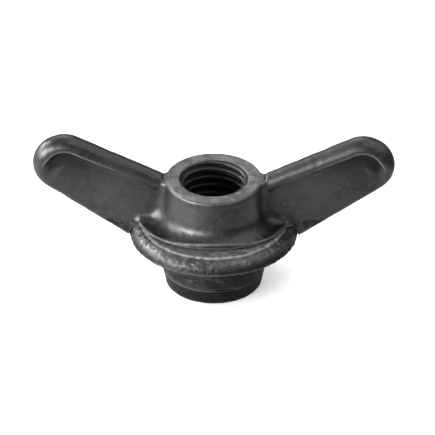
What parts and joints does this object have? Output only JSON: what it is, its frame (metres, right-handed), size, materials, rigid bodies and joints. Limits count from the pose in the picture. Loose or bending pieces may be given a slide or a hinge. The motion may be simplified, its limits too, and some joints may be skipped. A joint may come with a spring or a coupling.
{
  "type": "wing nut",
  "caption": "Heavy cast wing nut with upswept wings, a threaded through-bore and a captive swivel collar whose flange and pilot seat in the clamped part.",
  "frame": {"origin": "centre of the lower end face, on the thread axis", "axes": "+Z along the thread axis towards the wings, +X towards one wing tip"},
  "size_m": [0.0986, 0.0458, 0.0457],
  "materials": {
    "smooth_casting": "smooth black oxide casting, satin, brighter where machined on the top face",
    "rough_casting": "black oxide casting with a rough speckled skin and worn edges",
    "dark_steel": "turned and blackened, satin"
  },
  "bodies": {
    "nut": {"wing_nut_body": "smooth_casting", "retaining_ring": "dark_steel"},
    "collar": {"swivel_collar": "rough_casting"}
  },
  "joints": [
    {"name": "collar_spin", "type": "hinge", "parent": "nut", "child": "collar", "pos_m": [0, 0, 0.0098], "axis": [0, 0, 1], "continuous": true}
  ]
}
